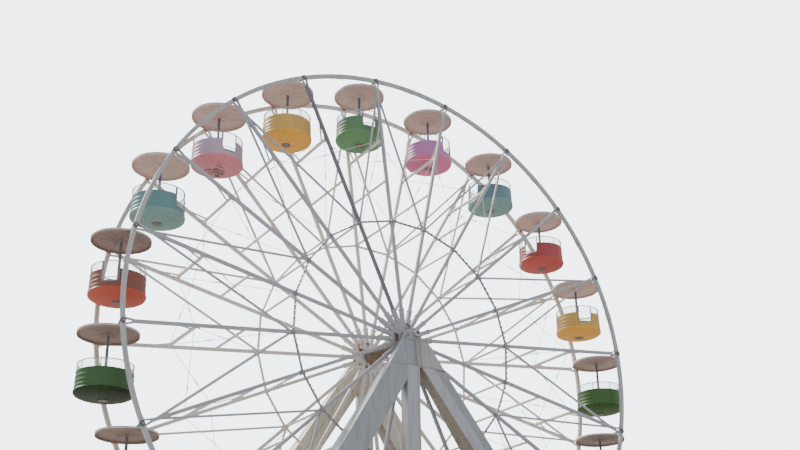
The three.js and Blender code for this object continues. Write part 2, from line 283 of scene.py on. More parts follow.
weathered = bpy.data.node_groups.new("weathered paint", "ShaderNodeTree")
for socket_name, socket_kind, start_value in (
    ("Vector", "NodeSocketVector", (0, 0, 0)),
    ("Paint", "NodeSocketColor", (0.5, 0.5, 0.5, 1)),
    ("Faded", "NodeSocketColor", (0.5, 0.5, 0.5, 1)),
    ("Grime", "NodeSocketColor", (0.1, 0.1, 0.1, 1)),
    ("Rust", "NodeSocketColor", (0.2, 0.08, 0.03, 1)),
    ("Fade Share", "NodeSocketFloat", 0.5),
    ("Grime Share", "NodeSocketFloat", 0.3),
    ("Rust Share", "NodeSocketFloat", 0.1),
    ("Gloss", "NodeSocketFloat", 0.45),
):
    socket = weathered.interface.new_socket(socket_name, in_out="INPUT", socket_type=socket_kind)
    socket.default_value = start_value
weathered.interface.new_socket("Colour", in_out="OUTPUT", socket_type="NodeSocketColor")
weathered.interface.new_socket("Roughness", in_out="OUTPUT", socket_type="NodeSocketFloat")
weathered.interface.new_socket("Height", in_out="OUTPUT", socket_type="NodeSocketFloat")
given = node(weathered, "NodeGroupInput").outputs


def math_node(tree, operation, first, second=0.0, third=0.0, clamp=False):
    """One sum of two or three numbers or sockets."""
    return node(tree, "ShaderNodeMath", {0: first, 1: second, 2: third}, operation=operation,
                use_clamp=clamp).outputs[0]


def mixed(tree, share, first, second, blend="MIX"):
    """One colour laid over another by a share."""
    return node(tree, "ShaderNodeMix", {0: share, 6: first, 7: second}, data_type="RGBA",
                blend_type=blend).outputs[2]


def spread(tree, value, low, high, to_low=0.0, to_high=1.0):
    """Stretches a range of values to another, and holds it there."""
    return node(tree, "ShaderNodeMapRange", {
        "Value": value, "From Min": low, "From Max": high, "To Min": to_low, "To Max": to_high,
    }).outputs[0]


def noise(tree, vector, scale, detail=4.0, roughness=0.6):
    """Soft noise at a scale in cycles a metre."""
    return node(tree, "ShaderNodeTexNoise", {
        "Vector": vector, "Scale": scale, "Detail": detail, "Roughness": roughness,
    }).outputs[0]


patches = spread(weathered, noise(weathered, given["Vector"], 0.9), 0.35, 0.65)
faded_share = math_node(weathered, "MULTIPLY", patches, given["Fade Share"])
base = mixed(weathered, faded_share, given["Paint"], given["Faded"])
long_way = node(weathered, "ShaderNodeMapping", {
    "Vector": given["Vector"], "Scale": (9, 9, 0.55),
}).outputs[0]
streaks = spread(weathered, noise(weathered, long_way, 1.0, 5.0), 0.48, 0.75)
streak_share = math_node(weathered, "MULTIPLY", streaks, given["Grime Share"])
streaked = mixed(weathered, streak_share, base, given["Grime"])
grain = noise(weathered, given["Vector"], 42.0, 3.0)
grey = node(weathered, "ShaderNodeCombineColor", {0: grain, 1: grain, 2: grain}).outputs[0]
grained = mixed(weathered, 0.16, streaked, grey, "OVERLAY")
rust_low = math_node(weathered, "MULTIPLY_ADD", given["Rust Share"], -0.5, 0.78)
rust_high = math_node(weathered, "ADD", rust_low, 0.05)
blotch = math_node(weathered, "ADD", noise(weathered, given["Vector"], 3.1, 8.0, 0.68),
                   spread(weathered, grain, 0.0, 1.0, -0.04, 0.04))
rusty = spread(weathered, blotch, rust_low, rust_high)
rust_tone = mixed(weathered, spread(weathered, noise(weathered, given["Vector"], 17.0), 0.35, 0.65),
                  given["Rust"], (0.055, 0.030, 0.020, 1))
coloured = mixed(weathered, rusty, grained, rust_tone)
dulled = math_node(weathered, "ADD", math_node(weathered, "MULTIPLY", rusty, 0.4),
                   math_node(weathered, "MULTIPLY", streak_share, 0.25))
rough = math_node(weathered, "ADD", given["Gloss"], dulled, clamp=True)
height = math_node(weathered, "ADD", math_node(weathered, "MULTIPLY", grain, 0.25),
                   math_node(weathered, "MULTIPLY", rusty, -0.6))
node(weathered, "NodeGroupOutput", {"Colour": coloured, "Roughness": rough, "Height": height})


def painted(name, paint, faded, fade=0.6, grime=0.35, rust=0.08, gloss=0.45, coat=0.0,
            grime_colour=(0.10, 0.09, 0.08), rust_colour=(0.21, 0.09, 0.04),
            bump=0.004, metallic=0.0, shine=0.5, extra_rust=None, extra_grime=None):
    """Painted steel: the paint fades in patches, dirt runs down it and rust breaks through."""
    material = bpy.data.materials.new(name)
    material.use_nodes = True
    tree = material.node_tree
    here = node(tree, "ShaderNodeTexCoord").outputs["Object"]
    shares = {"Rust Share": rust, "Grime Share": grime}
    if extra_rust:
        shares["Rust Share"] = math_node(tree, "ADD", extra_rust(tree), rust)
    if extra_grime:
        shares["Grime Share"] = math_node(tree, "ADD", extra_grime(tree), grime)
    worn = node(tree, "ShaderNodeGroup", {
        "Vector": here, "Paint": (*paint, 1), "Faded": (*faded, 1), "Grime": (*grime_colour, 1),
        "Rust": (*rust_colour, 1), "Fade Share": fade, "Gloss": gloss, **shares,
    }, node_tree=weathered).outputs
    relief = node(tree, "ShaderNodeBump", {"Height": worn["Height"], "Distance": bump})
    shader = tree.nodes["Principled BSDF"]
    tree.links.new(worn["Colour"], shader.inputs["Base Color"])
    tree.links.new(worn["Roughness"], shader.inputs["Roughness"])
    tree.links.new(relief.outputs[0], shader.inputs["Normal"])
    shader.inputs["Coat Weight"].default_value = coat
    shader.inputs["Coat Roughness"].default_value = 0.15
    shader.inputs["Metallic"].default_value = metallic
    shader.inputs["Specular IOR Level"].default_value = shine
    return material


def near_hub(tree):
    """How close a point is to the shaft: rust gathers there."""
    here = node(tree, "ShaderNodeTexCoord").outputs["Object"]
    off = node(tree, "ShaderNodeVectorMath", {0: here, 1: tuple(HUB)}, operation="SUBTRACT").outputs[0]
    flat = node(tree, "ShaderNodeVectorMath", {0: off, 1: (1, 0, 1)}, operation="MULTIPLY").outputs[0]
    far = node(tree, "ShaderNodeVectorMath", {0: flat}, operation="LENGTH").outputs["Value"]
    return spread(tree, far, 0.4, 1.6, 0.46, 0.0)


front_grey = painted("front grey paint", (0.39, 0.39, 0.42), (0.45, 0.44, 0.45), rust=0.05)
rear_tan = painted("rear tan paint", (0.66, 0.58, 0.50), (0.60, 0.55, 0.50), rust=0.08)
bolt_steel = painted("bolt steel", (0.50, 0.49, 0.47), (0.30, 0.28, 0.26), rust=0.25,
                     metallic=0.5, gloss=0.4)
dark_steel = painted("dark steel", (0.085, 0.080, 0.085), (0.12, 0.11, 0.11), rust=0.2,
                     gloss=0.55)

for name, side, paint in (("front", -1, front_grey), ("rear", 1, rear_tan)):
    y = side * SIDE_Y
    outer, inner, web = y + side * SIDE_HALF, y - side * SIDE_HALF, side * RIM_SUNK
    low, high = RIM_R - RIM_HALF, RIM_R + RIM_HALF
    hoop = lathe([
        (low, inner), (low + RIM_FLANGE, inner), (low + RIM_FLANGE, inner + web),
        (high - RIM_FLANGE, inner + web), (high - RIM_FLANGE, inner), (high, inner),
        (high, outer), (high - RIM_FLANGE, outer), (high - RIM_FLANGE, outer - web),
        (low + RIM_FLANGE, outer - web), (low + RIM_FLANGE, outer), (low, outer),
    ], RIM_STEPS, centre=HUB, axis="Y", closed=True)
    round_off(hoop, [
        e for e in hoop.edges
        if abs(e.verts[0].co.y - e.verts[1].co.y) < 1e-4
        and abs((e.verts[0].co - HUB).length - (e.verts[1].co - HUB).length) < 1e-4
    ], 0.004, 1)
    bm = bmesh.new()
    join(bm, hoop)
    sleeve_step = SLEEVE / RIM_R / STEP
    for k in range(len(PIVOTS)):
        middle = k + 0.5
        bar(bm, on_wheel(SLEEVE_R, middle - sleeve_step / 2, y),
            on_wheel(SLEEVE_R, middle + sleeve_step / 2, y), SLEEVE_W, SLEEVE_DEPTH, 0.006)
        for share in SLEEVE_BOLTS:
            for radius in SLEEVE_BOLT_R:
                at = on_wheel(radius, middle + share * sleeve_step, y + side * SLEEVE_DEPTH / 2)
                rod(bm, at, at + Vector((0, side * 0.012, 0)), 0.011, 6, paint=1)
        at = on_wheel(WHEEL_R, k)
        for near, far, radius in CAP_STEPS:
            rod(bm, at + Vector((0, side * near, 0)), at + Vector((0, side * far, 0)), radius, 20,
                far_radius=radius - 0.006, paint=2)
        rod(bm, at + Vector((0, side * 1.25, 0)), at + Vector((0, side * CAP_END, 0)), 0.028, 6, paint=1)
        for turn in range(CAP_BOLTS):
            out = Matrix.Rotation(turn * 2 * math.pi / CAP_BOLTS, 3, "Y") @ Vector((CAP_BOLT_R, 0, 0))
            rod(bm, at + out + Vector((0, side * 1.245, 0)), at + out + Vector((0, side * 1.257, 0)),
                0.009, 6, paint=1)
        join(bm, lathe([
            (TUBE_BORE, side * TUBE_END), (TUBE_R, side * TUBE_END), (TUBE_R, side * 1.104),
            (TUBE_BORE, side * 1.104),
        ], 16, centre=at, axis="Y", closed=True), paint=2)
    piece(f"{name}_rim_channel", bm, [paint, bolt_steel, dark_steel], "wheel", "wheel_paint", f"{name}_rim")

# Spokes: twenty square steel tubes a side, bolted into thick sockets on a round hub flange, with a
# forked end welded under the rim. From every second spoke a pair of lighter tubes, in a V, braces
# the two next to it. Grey at the front and tan at the rear; rusty round the hub. The front spoke at
# cabin 6 is painted dark along its whole length as painted shade.
SPOKE_W = 0.108
FORK_R = 9.32
SOCKET_W = 0.142
SOCKET_END = 1.05
FLANGE_R = 0.558
FLANGE_HALF = 0.075
DRUM_BORE = 0.203
RING_R = 4.185
BRACE_W = 0.064
BRACE_END = 9.12
FORK_SPREAD = 0.040
FORK_TIP = 0.090
SOCKET_BOLTS = (0.62, 0.80, 0.97)
FLANGE_BOLTS = ((40, 0.50, 0.013), (40, 0.44, 0.013), (20, 0.245, 0.014))
SHADED_SPOKE = 6

spoke_grey = painted("spoke grey paint", (0.34, 0.34, 0.385), (0.42, 0.41, 0.45), rust=0.04,
                     extra_rust=near_hub)
# Painted shade: a dark copy of the spoke grey for the front spoke that lies in shadow.
spoke_shaded = painted("spoke shaded paint", (0.135, 0.128, 0.165), (0.18, 0.17, 0.205), rust=0.04)
spoke_tan = painted("spoke tan paint", (0.69, 0.645, 0.61), (0.72, 0.65, 0.575), rust=0.08,
                    rust_colour=(0.46, 0.28, 0.13), extra_rust=near_hub)
for name, side, paint in (("front", -1, spoke_grey), ("rear", 1, spoke_tan)):
    y = side * SIDE_Y
    bm = bmesh.new()
    for k in range(len(PIVOTS)):
        side_way = on_wheel(1, k + 5) - HUB
        # The front spoke at SHADED_SPOKE takes the dark paint as painted shade.
        bar(bm, on_wheel(SOCKET_END - 0.10, k, y), on_wheel(FORK_R, k, y), SPOKE_W, SPOKE_W, 0.014,
            paint=2 if k + 1 == SHADED_SPOKE and side < 0 else 0)
        bar(bm, on_wheel(FLANGE_R - 0.10, k, y), on_wheel(SOCKET_END, k, y), SOCKET_W, 0.138, 0.018)
        bar(bm, on_wheel(SOCKET_END - 0.035, k, y), on_wheel(SOCKET_END + 0.012, k, y), 0.164, 0.152,
            0.010)
        for hand in (-1, 1):
            foot = on_wheel(FORK_R - 0.03, k, y) + side_way * hand * FORK_SPREAD
            tip = on_wheel(RIM_R - RIM_HALF + 0.012, k, y) + side_way * hand * FORK_TIP
            bar(bm, foot, tip, 0.046, 0.094, 0.008)
            pad = on_wheel(RIM_R - RIM_HALF - 0.006, k, y)
            bar(bm, pad + side_way * hand * 0.06, pad + side_way * hand * 0.17, 0.014, 0.112)
        for radius in SOCKET_BOLTS:
            for hand in (-1, 1):
                at = on_wheel(radius, k, y + side * 0.067) + side_way * hand * 0.042
                rod(bm, at, at + Vector((0, side * 0.014, 0)), 0.013, 6, paint=1)
        if k % 2 == 1:
            for turn in (-1, 1):
                bar(bm, on_wheel(RING_R, k, y), on_wheel(BRACE_END, k + turn, y), BRACE_W, BRACE_W, 0.010)
    back, face = y - side * FLANGE_HALF, y + side * FLANGE_HALF
    join(bm, lathe([
        (DRUM_BORE, back), (FLANGE_R - 0.012, back), (FLANGE_R, back + side * 0.012),
        (FLANGE_R, face - side * 0.012), (FLANGE_R - 0.012, face), (0.40, face),
        (0.385, face - side * 0.014), (0.29, face - side * 0.014), (0.275, face + side * 0.010),
        (DRUM_BORE, face + side * 0.010),
    ], 80, centre=(HUB.x, 0, HUB.z), axis="Y", closed=True))
    for count, radius, size in FLANGE_BOLTS:
        for turn in range(count):
            at = HUB + Matrix.Rotation(turn * 2 * math.pi / count, 3, "Y") @ Vector((radius, 0, 0))
            at.y = face + side * (0.010 if radius < 0.275 else 0.0)
            rod(bm, at, at + Vector((0, side * 0.016, 0)), size, 6, paint=1)
    piece(f"{name}_spoke_set", bm, [paint, bolt_steel, spoke_shaded], "wheel", "wheel_paint",
          f"{name}_spokes")

# Outer bracing: a square steel strut across the wheel at each pair of spokes, with a plate and a knee
# at each end, and round steel rods that cross from each strut to the next. A turnbuckle on each rod
# keeps it tight.
OUTER_STRUT_R = 7.33
OUTER_STRUT_W = 0.090
INSIDE_Y = SIDE_Y - SIDE_HALF
KNEE_R = 7.90
KNEE_Y = 0.80
ROD_R = 0.009
ROD_END_Y = 0.975
ROD_SIDE = 0.010


def tie_rod(bm, start, end, radius=ROD_R, paint=0):
    """A round rod with an eye at both ends and a turnbuckle a third of the way along."""
    start, end = Vector(start), Vector(end)
    along = (end - start).normalized()
    rod(bm, start, end, radius, 8, paint=paint)
    for at, way in ((start, 1), (end, -1)):
        rod(bm, at, at + along * way * 0.10, radius * 2.0, 8, far_radius=radius * 1.3, paint=paint)
    middle = start.lerp(end, 0.33)
    rod(bm, middle - along * 0.09, middle + along * 0.09, radius * 2.1, 8, paint=paint)
    for way in (-1, 1):
        rod(bm, middle + along * way * 0.09, middle + along * way * 0.115, radius * 1.7, 6, paint=paint)


bm = bmesh.new()
for k in range(len(PIVOTS)):
    radial = on_wheel(1, k) - HUB
    bar(bm, on_wheel(OUTER_STRUT_R, k, -INSIDE_Y), on_wheel(OUTER_STRUT_R, k, INSIDE_Y),
        OUTER_STRUT_W, OUTER_STRUT_W, 0.010, across=radial)
    for side in (-1, 1):
        inside = side * INSIDE_Y
        bar(bm, on_wheel(OUTER_STRUT_R - 0.11, k, inside - side * 0.006),
            on_wheel(OUTER_STRUT_R + 0.11, k, inside - side * 0.006), 0.126, 0.012)
        bar(bm, on_wheel(OUTER_STRUT_R + 0.02, k, side * KNEE_Y), on_wheel(KNEE_R, k, inside - side * 0.02),
            0.045, 0.045, 0.006, across=on_wheel(1, k + 5) - HUB)
        tie_rod(bm, on_wheel(OUTER_STRUT_R + side * ROD_SIDE, k, side * ROD_END_Y),
                on_wheel(OUTER_STRUT_R + side * ROD_SIDE, k + 1, -side * ROD_END_Y))
piece("outer_strut_frame", bm, [spoke_tan], "wheel", "wheel_paint", "outer_bracing")

# Inner cage: a ring of straight square tubes on the outer face of each side's spokes. The struts that
# tie the two rings together end in forks, which reach past both sides of the spoke. A second row of
# struts stands further out, slim rods cross in each spoke's plane, and lamps line both rings.
CAGE_Y = SIDE_Y + SIDE_HALF + 0.0323
CAGE_BAR = 0.060
CAGE_STRUT = 0.064
PRONG = 0.0075
PRONG_H = 0.052
PRONG_SIDE = 0.059 + PRONG
MIDDLE_R = 5.75
MIDDLE_W = 0.070
TIE_OUT = 7.24
TIE_SIDE = 0.052
LAMPS = 7

cage_grey = painted("cage grey paint", (0.26, 0.25, 0.28), (0.33, 0.31, 0.33), rust=0.10)
lamp_glass = painted("lamp glass", (0.20, 0.19, 0.20), (0.28, 0.27, 0.28), rust=0.0, gloss=0.12,
                     coat=0.6)
bulb = lathe([(0.012, 0.0), (0.020, 0.006), (0.027, 0.020), (0.024, 0.036), (0.012, 0.047), (0, 0.050)], 8)
for face in bulb.faces:
    face.material_index = 1
rod(bulb, (0, 0, -0.018), (0, 0, 0.004), 0.022, 8, far_radius=0.017)
bulb_mesh = bpy.data.meshes.new("bulb")
bulb.to_mesh(bulb_mesh)
bulb.free()


def put(bm, mesh, matrix):
    """Adds a copy of a small part to a piece, turned and moved to its place."""
    copy = mesh.copy()
    copy.transform(matrix)
    bm.from_mesh(copy)
    bpy.data.meshes.remove(copy)


bm = bmesh.new()
lamps = bmesh.new()
for k in range(len(PIVOTS)):
    radial = on_wheel(1, k) - HUB
    tangent = on_wheel(1, k + 5) - HUB
    for radius, width in ((RING_R, CAGE_STRUT), (MIDDLE_R, MIDDLE_W)):
        bar(bm, on_wheel(radius, k, -INSIDE_Y), on_wheel(radius, k, INSIDE_Y), width, width, 0.008,
            across=radial, paint=1)
    for side in (-1, 1):
        tone = 0 if side < 0 else 1
        start, end = on_wheel(RING_R, k, side * CAGE_Y), on_wheel(RING_R, k + 1, side * CAGE_Y)
        bar(bm, start, end, CAGE_BAR, CAGE_BAR, 0.007, paint=tone)
        rod(bm, start - radial * 0.045, start + radial * 0.045, 0.031, 12, paint=tone)
        root = on_wheel(RING_R, k, side * (INSIDE_Y - PRONG))
        half_root = tangent * (PRONG_SIDE + PRONG)
        bar(bm, root - half_root, root + half_root, PRONG_H, 2 * PRONG, 0.003, paint=1)
        for hand in (-1, 1):
            near = root + tangent * hand * PRONG_SIDE
            bar(bm, near, Vector((near.x, side * CAGE_Y, near.z)), PRONG_H, 2 * PRONG, 0.003, across=tangent,
                paint=tone)
        tie_rod(bm, on_wheel(TIE_OUT, k, side * 1.04) + tangent * side * TIE_SIDE,
                on_wheel(RING_R + 0.05, k, -side * 1.0) + tangent * side * TIE_SIDE, 0.009, paint=1)
        for i in range(LAMPS):
            at = start.lerp(end, (i + 0.5) / LAMPS) + Vector((0, side * CAGE_BAR / 2, 0))
            turn = Vector((0, side, 0)).to_track_quat("Z", "Y").to_matrix().to_4x4()
            put(lamps, bulb_mesh, Matrix.Translation(at + Vector((0, side * 0.014, 0))) @ turn)
bpy.data.meshes.remove(bulb_mesh)
piece("inner_ring_cage", bm, [cage_grey, spoke_tan], "wheel", "wheel_paint", "inner_cage")
piece("ring_lamps", lamps, [dark_steel, lamp_glass], "wheel", "wheel_paint")

# Shaft: a turned steel shaft that carries the wheel, with a thick drum between the two hub flanges
# and a hollow end that shows in front of each bearing. The drum is bare and rusty, dark brown.
SHAFT_R = 0.120
SHAFT_HALF = 1.968
DRUM_R = 0.200
DRUM_HALF = 1.262
HOLLOW_R = 0.052

rusty_steel = painted("rusty steel", (0.30, 0.21, 0.14), (0.09, 0.065, 0.05), fade=1.0, grime=0.9,
                      rust=0.45, gloss=0.6, rust_colour=(0.30, 0.17, 0.08), bump=0.008)
end_steel = painted("turned steel", (0.42, 0.42, 0.43), (0.33, 0.31, 0.30), rust=0.12, gloss=0.35,
                    metallic=0.4)
bm = bmesh.new()
half = [
    (0.0, -SHAFT_HALF + 0.14), (HOLLOW_R, -SHAFT_HALF + 0.14), (HOLLOW_R, -SHAFT_HALF + 0.006),
    (HOLLOW_R + 0.006, -SHAFT_HALF), (SHAFT_R - 0.012, -SHAFT_HALF), (SHAFT_R - 0.002, -SHAFT_HALF + 0.010),
    (SHAFT_R - 0.002, -1.30), (SHAFT_R + 0.016, -DRUM_HALF - 0.012), (DRUM_R - 0.014, -DRUM_HALF),
    (DRUM_R, -DRUM_HALF + 0.014), (DRUM_R, -1.04), (DRUM_R + 0.030, -1.03), (DRUM_R + 0.030, -0.96),
    (DRUM_R, -0.95), (DRUM_R, -0.03), (DRUM_R + 0.012, -0.02), (DRUM_R + 0.012, 0.02),
]
turned = lathe(half + [(r, -y) for r, y in reversed(half[:-1])], 48, centre=HUB, axis="Y")
for face in turned.faces:
    face.material_index = 1 if abs(face.calc_center_median().y) > DRUM_HALF - 0.005 else 0
join(bm, turned)
for side in (-1, 1):
    for turn in range(24):
        out = Matrix.Rotation(turn * math.pi / 12, 3, "Y") @ Vector((DRUM_R + 0.030, 0, 0))
        at = HUB + out + Vector((0, side * 0.995, 0))
        rod(bm, at, at + out.normalized() * 0.016, 0.014, 6, paint=1)
piece("hub_drum_and_shaft", bm, [rusty_steel, end_steel], "wheel", "shaft_steel", "main_shaft")

# Bearings: a cast two-part block on each tower head. Its base is bolted down, its cap is held by four
# studs, and a grease nipple stands on top. Grey paint, stained ochre with rust and old grease.
BEARING_HALF = 0.308
BEARING_BACK = 1.642
BEARING_FRONT = 1.848
HEAD_TOP = 0.19


def block(bm, low, high, edge=0.0, paint=0):
    """A plate or block between two corners, with all its edges rounded."""
    low, high = Vector(low), Vector(high)
    size = high - low
    made = bmesh.ops.create_cube(
        bm, size=1.0, matrix=Matrix.Translation((low + high) / 2) @ Matrix.Diagonal(
            (abs(size.x), abs(size.y), abs(size.z), 1)))["verts"]
    give_paint(made, paint)
    if edge:
        round_off(bm, list({e for v in made for e in v.link_edges}), edge)


bearing_grey = painted("bearing grey paint", (0.31, 0.30, 0.34), (0.36, 0.30, 0.24), fade=0.9,
                       grime=0.7, rust=0.30, rust_colour=(0.34, 0.19, 0.06))
for name, side in (("front", -1), ("rear", 1)):
    bm = bmesh.new()
    near, far = side * BEARING_BACK, side * BEARING_FRONT
    zb = HUB.z - HEAD_TOP + 0.002
    block(bm, (-BEARING_HALF, near, zb), (BEARING_HALF, far, zb + 0.045), 0.008)
    block(bm, (-0.225, near + side * 0.012, zb + 0.04), (0.225, far - side * 0.012, HUB.z - 0.004), 0.02)
    block(bm, (-0.25, near + side * 0.02, HUB.z - 0.05), (0.25, far - side * 0.02, HUB.z - 0.004), 0.008)
    block(bm, (-0.25, near + side * 0.02, HUB.z + 0.004), (0.25, far - side * 0.02, HUB.z + 0.045), 0.008)
    join(bm, lathe([
        (SHAFT_R + 0.004, near), (0.165, near), (0.170, near + side * 0.010), (0.172, near + side * 0.03),
        (0.203, near + side * 0.04), (0.203, far - side * 0.04), (0.172, far - side * 0.03),
        (0.170, far - side * 0.010), (0.165, far), (SHAFT_R + 0.004, far),
    ], 48, centre=(HUB.x, 0, HUB.z), axis="Y", closed=True))
    for x in (-0.222, 0.222):
        for y in (near + side * 0.055, far - side * 0.055):
            rod(bm, (x, y, HUB.z + 0.045), (x, y, HUB.z + 0.066), 0.020, 6, paint=1)
            rod(bm, (x, y, HUB.z + 0.066), (x, y, HUB.z + 0.092), 0.011, 10, paint=1)
    for x in (-0.272, 0.272):
        for y in (near + side * 0.05, far - side * 0.05):
            rod(bm, (x, y, zb + 0.045), (x, y, zb + 0.067), 0.019, 6, paint=1)
    rod(bm, (0, (near + far) / 2, HUB.z + 0.195), (0, (near + far) / 2, HUB.z + 0.212), 0.010, 8, paint=1)
    piece(f"{name}_bearing_housing", bm, [bearing_grey, bolt_steel], "towers", "tower_paint",
          f"{name}_bearing")

# Tower heads: the welded box on which the bearing stands and in which the two legs meet. Its two
# halves are bolted together through a flange down the middle, and a lip runs along its lower edge.
# Painted blue-grey, with one half faded towards beige. The rear head, like the whole rear tower, is painted
# a sunlit beige as painted sunlight.
HEAD_BOTTOM = 1.15
TOWER_BACK = 1.58
HEAD_HALF = 0.452
SEAM_X = 0.04
SEAM_HALF = 0.004
SEAM_BOLTS = 11
SEAM_BOLT_X = 0.090


def front_y(depth):
    """How far out a tower's sloping face stands, at a depth under the shaft."""
    return 1.835 + 0.1117 * depth


def leg_ends(depth):
    """The inner and outer edge of a leg at a depth under the shaft."""
    outer = 0.292 + 0.6653 * depth
    return outer - (0.943 - 0.0106 * depth), outer


def tapered(bm, side, low, z0, high, z1, edge=0.0, paint=0, hand=1):
    """A box with a level bottom and top, each given as (x0, x1, y0, y1): y is counted outwards on the
    front or rear side, and x outwards on the left or right hand."""
    made = bmesh.ops.create_cube(bm, size=2.0)["verts"]
    for v in made:
        box = low if v.co.z < 0 else high
        x0, x1 = sorted((hand * box[0], hand * box[1]))
        y0, y1 = sorted((side * box[2], side * box[3]))
        v.co = Vector((x0 if v.co.x < 0 else x1, y0 if v.co.y < 0 else y1, z0 if v.co.z < 0 else z1))
    give_paint(made, paint)
    if edge:
        round_off(bm, list({e for v in made for e in v.link_edges}), edge)


tower_blue = painted("tower blue-grey paint", (0.250, 0.268, 0.300), (0.300, 0.315, 0.340),
                     grime=0.35, rust=0.10, fade=0.8)
tower_light = painted("tower light paint", (0.345, 0.360, 0.390), (0.380, 0.390, 0.405),
                      grime=0.35, rust=0.08)
tower_beige = painted("tower beige paint", (0.37, 0.36, 0.33), (0.31, 0.32, 0.32), grime=0.45, rust=0.12)
# Painted light and shade: a warm brown for the light thrown up from the ground on the legs' inner sides, and
# for the shade in the crease between a leg's two plates.
tower_bounce_and_shade = painted("tower brown painted bounce and shade", (0.30, 0.25, 0.20), (0.25, 0.21, 0.17), grime=0.5, rust=0.30)
# Painted sunlight: the rear tower's paint is a light beige for the sun on it, though the lamp leaves its
# near faces in shade.
rear_sunlit_beige = painted("rear tower sunlit beige paint", (0.66, 0.595, 0.49), (0.58, 0.53, 0.45),
                     grime=0.4, rust=0.08)
for name, side in (("front", -1), ("rear", 1)):
    bm = bmesh.new()
    high, low = HUB.z - HEAD_TOP, HUB.z - HEAD_BOTTOM
    high_y, low_y = front_y(HEAD_TOP), front_y(HEAD_BOTTOM)
    seam = -side * SEAM_X
    half_high, half_low = HEAD_HALF, leg_ends(HEAD_BOTTOM)[1] - 0.003
    for x0_low, x1_low, x0_high, x1_high, paint in (
        (-half_low, seam - SEAM_HALF, -half_high, seam - SEAM_HALF, 0 if side < 0 else 1),
        (seam + SEAM_HALF, half_low, seam + SEAM_HALF, half_high, 1 if side < 0 else 0),
    ):
        tapered(bm, side, (x0_low, x1_low, TOWER_BACK + 0.004, low_y - 0.022), low + 0.002,
                (x0_high, x1_high, TOWER_BACK + 0.004, high_y - 0.022), high - 0.002, 0.012, paint)
    for x0, x1 in ((seam - 0.125, seam - 0.005), (seam + 0.005, seam + 0.125)):
        tapered(bm, side, (x0, x1, low_y - 0.03, low_y - 0.006), low + 0.05,
                (x0, x1, high_y - 0.03, high_y - 0.006), high - 0.02, 0.004,
                0 if (x0 < seam) == (side < 0) else 1)
    for x in (seam - SEAM_BOLT_X, seam + SEAM_BOLT_X):
        for i in range(SEAM_BOLTS):
            depth = HEAD_TOP + 0.07 + i * 0.080
            y = side * (front_y(depth) - 0.008)
            rod(bm, (x, y, HUB.z - depth), (x, y + side * 0.014, HUB.z - depth), 0.022, 6, paint=2)
    tapered(bm, side, (-half_low, half_low, low_y - 0.03, low_y - 0.002), low + 0.001,
            (-half_low + 0.03, half_low - 0.03, front_y(1.10) - 0.03, front_y(1.10) - 0.012),
            low + 0.030, 0.004)
    tapered(bm, side, (-half_high - 0.002, half_high + 0.002, TOWER_BACK + 0.002, front_y(0.215) - 0.004),
            high - 0.028, (-half_high, half_high, TOWER_BACK + 0.002, high_y - 0.004),
            high - 0.0005, 0.005)
    paints = [tower_blue, tower_beige] if side < 0 else [rear_sunlit_beige, rear_sunlit_beige]
    piece(f"{name}_head_box", bm, [*paints, dark_steel], "towers", "tower_paint", f"{name}_tower_head")

# Legs: four long sloping box columns. The front right and the rear left one are welded from two plates
# side by side, with a crease between them and the outer one set back, and the other two have one plain
# face. They stand on anchored foot plates with gussets, and a bolted flange joins their two lengths.
# The crease and every leg's inner side are painted brown: painted shade in the crease and painted bounce
# light from the ground on the inner sides. On the front tower the near plate is painted lighter than
# the set-back one, as painted light and painted shade.
FOOT_T = 0.04
BAND = 0.56
BAND_BACK = 0.045
CREASE = 0.012
POST_X = 0.215
POST_W = 0.48
LEG_JOINT = 6.6
LEG_PLATE = 0.158


def anchor(bm, x, y, nut_top, nut_r, stud_top, stud_r):
    """An anchor stud with its nut, on a foot plate."""
    rod(bm, (x, y, FOOT_T), (x, y, FOOT_T + nut_top), nut_r, 6, paint=2)
    rod(bm, (x, y, FOOT_T), (x, y, FOOT_T + stud_top), stud_r, 10, paint=2)


def gusset(bm, side, x, near, far, top_share, height, half):
    """A plate welded upright between a column and its foot plate, cut back towards its top."""
    tapered(bm, side, (x - half, x + half, near, far), FOOT_T - 0.002,
            (x - half, x + half, near, near + (far - near) * top_share), FOOT_T + height)


